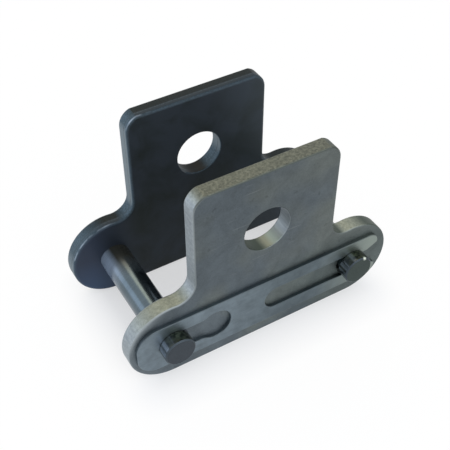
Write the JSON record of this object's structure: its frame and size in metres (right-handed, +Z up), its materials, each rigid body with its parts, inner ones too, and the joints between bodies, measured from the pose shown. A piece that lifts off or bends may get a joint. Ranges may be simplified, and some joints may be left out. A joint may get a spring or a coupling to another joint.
{
  "type": "roller chain connecting link",
  "caption": "Double-pitch conveyor chain connecting link with upright attachment tabs, riveted pins and a keyhole spring clip.",
  "frame": {"origin": "centre of the footprint, on the plane of the plates' straight lower edges", "axes": "+X along the chain from the left pin to the right pin, +Y from the front plate with the clip to the rear plate, +Z up towards the tabs"},
  "size_m": [0.055, 0.0312, 0.0391],
  "materials": {
    "blued_plate_steel": "blued and oiled",
    "pin_steel": "ground and polished",
    "grey_plate_steel": "tumbled, matte grey",
    "clip_spring_steel": "tumbled, matte grey"
  },
  "bodies": {
    "root": {"rear_plate": "blued_plate_steel", "left_pin": "pin_steel", "right_pin": "pin_steel", "front_plate": "grey_plate_steel", "spring_clip": "clip_spring_steel"}
  },
  "joints": []
}
